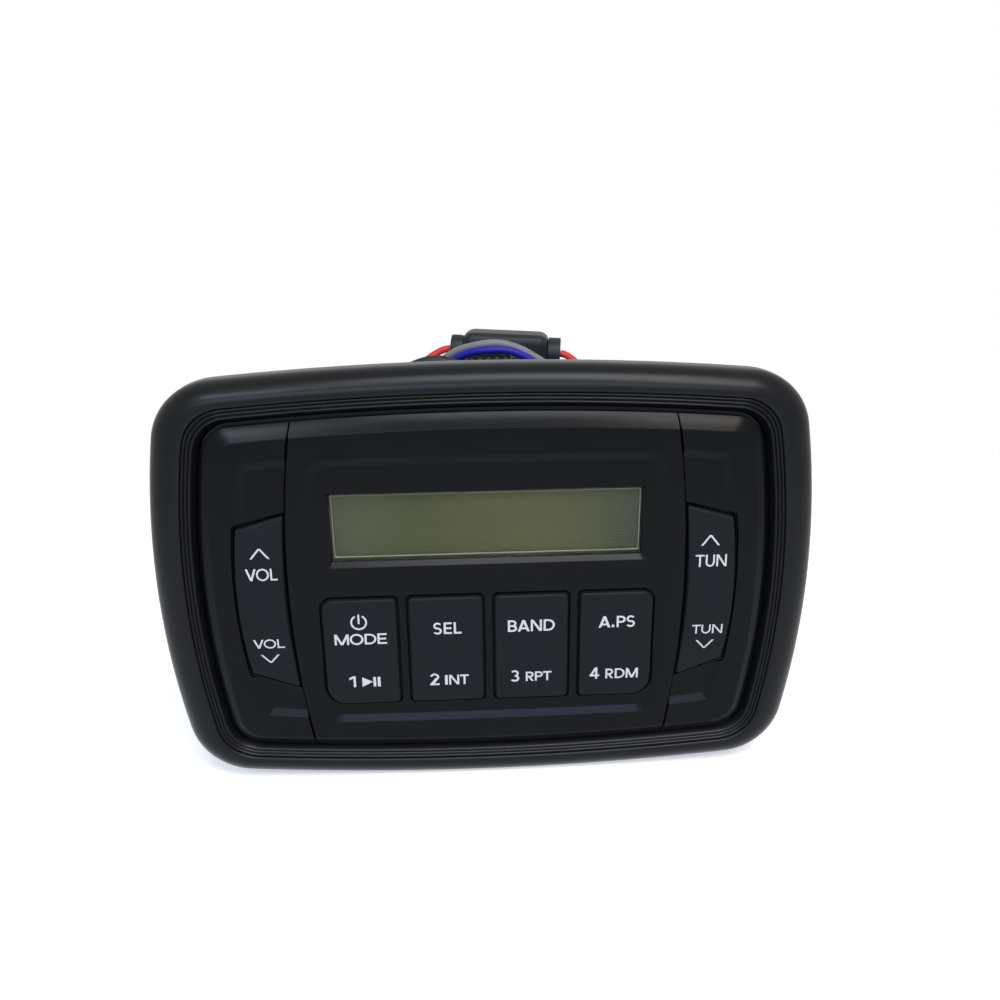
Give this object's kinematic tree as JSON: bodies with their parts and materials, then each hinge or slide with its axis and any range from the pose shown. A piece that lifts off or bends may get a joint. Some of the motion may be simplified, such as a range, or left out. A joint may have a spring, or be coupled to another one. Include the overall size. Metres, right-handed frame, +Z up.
{
  "type": "spa stereo",
  "caption": "Panel-mounted receiver with a bowed trim bezel, a display above push keys, rocker keys at both sides, a sealed box behind the panel and short wired leads.",
  "frame": {"origin": "centre of the four panel screw holes, on the panel's face where the flange rests", "axes": "+X to the right as seen from the front, +Z up, the front looks towards -Y and the housing reaches into the panel towards +Y"},
  "size_m": [0.16, 0.0765, 0.1076],
  "materials": {
    "bezel_plastic": "fine matte",
    "front_plastic": "satin",
    "key_plastic": "satin",
    "clear_window": "polished",
    "display_glass": "gloss",
    "white_plastic": "matte",
    "dark_plastic": "matte",
    "case_plastic": "matte",
    "board_laminate": "gloss",
    "black_rubber": "matte",
    "grey_rubber": "matte",
    "steel": "zinc plated",
    "tinned_steel": "tinned",
    "nickel": "nickel plated",
    "cast_aluminium": "fine cast",
    "capacitor_sleeve": "gloss sleeve",
    "red_pvc": "satin",
    "blue_pvc": "satin",
    "grey_pvc": "satin",
    "black_pvc": "satin",
    "fuse_glass": "clear"
  },
  "bodies": {
    "receiver": {"trim_bezel": "bezel_plastic", "fascia_centre": "front_plastic", "left_wing": "front_plastic", "right_wing": "front_plastic", "display_window": "clear_window", "lcd_glass": "display_glass", "backlight": "white_plastic", "volume_pin": "steel", "tuning_pin": "steel", "key_mat": "grey_rubber", "key_switches": "dark_plastic", "display_board": "board_laminate", "display_board_screws": "steel", "front_case": "case_plastic", "panel_gasket": "black_rubber", "fascia_screws": "steel", "case_screws": "steel", "housing_seal": "black_rubber", "rear_housing": "case_plastic", "heat_sink": "cast_aluminium", "heat_sink_screws": "steel", "thermal_pad": "grey_rubber", "amplifier_chip": "dark_plastic", "main_board": "board_laminate", "main_board_screws": "steel", "link_header": "dark_plastic", "lead_header": "white_plastic", "filter_capacitors": "capacitor_sleeve", "power_choke": "dark_plastic", "tuner_can": "tinned_steel", "wireless_module": "board_laminate", "cable_hood": "case_plastic", "hood_nut": "dark_plastic", "cable_boot": "black_rubber", "red_lead_in": "red_pvc", "red_lead_out": "red_pvc", "blue_lead": "blue_pvc", "grey_lead": "grey_pvc", "black_cable": "black_pvc", "fuse_holder": "dark_plastic", "fuse_holder_cap": "dark_plastic", "fuse_tube": "fuse_glass", "fuse_caps": "nickel", "accessory_plug": "white_plastic", "power_terminal": "red_pvc", "antenna_plug": "black_pvc", "antenna_pin": "nickel"},
    "mode_key": {"mode_key": "key_plastic"},
    "select_key": {"select_key": "key_plastic"},
    "band_key": {"band_key": "key_plastic"},
    "scan_key": {"scan_key": "key_plastic"},
    "volume_rocker": {"volume_rocker": "key_plastic"},
    "tuning_rocker": {"tuning_rocker": "key_plastic"}
  },
  "joints": [
    {"name": "mode_key_press", "type": "slide", "parent": "receiver", "child": "mode_key", "axis": [0, 1, 0], "range_m": [0, 0.0008], "stiffness_N_per_m": 1500},
    {"name": "select_key_press", "type": "slide", "parent": "receiver", "child": "select_key", "axis": [0, 1, 0], "range_m": [0, 0.0008], "stiffness_N_per_m": 1500},
    {"name": "band_key_press", "type": "slide", "parent": "receiver", "child": "band_key", "axis": [0, 1, 0], "range_m": [0, 0.0008], "stiffness_N_per_m": 1500},
    {"name": "scan_key_press", "type": "slide", "parent": "receiver", "child": "scan_key", "axis": [0, 1, 0], "range_m": [0, 0.0008], "stiffness_N_per_m": 1500},
    {"name": "volume_rocker_tilt", "type": "hinge", "parent": "receiver", "child": "volume_rocker", "pos_m": [-0.0537, -0.0072, -0.0029], "axis": [1, 0, 0], "range_deg": [-2, 2], "stiffness_Nm_per_rad": 1.2},
    {"name": "tuning_rocker_tilt", "type": "hinge", "parent": "receiver", "child": "tuning_rocker", "pos_m": [0.0537, -0.0072, -0.0029], "axis": [1, 0, 0], "range_deg": [-2, 2], "stiffness_Nm_per_rad": 1.2}
  ]
}
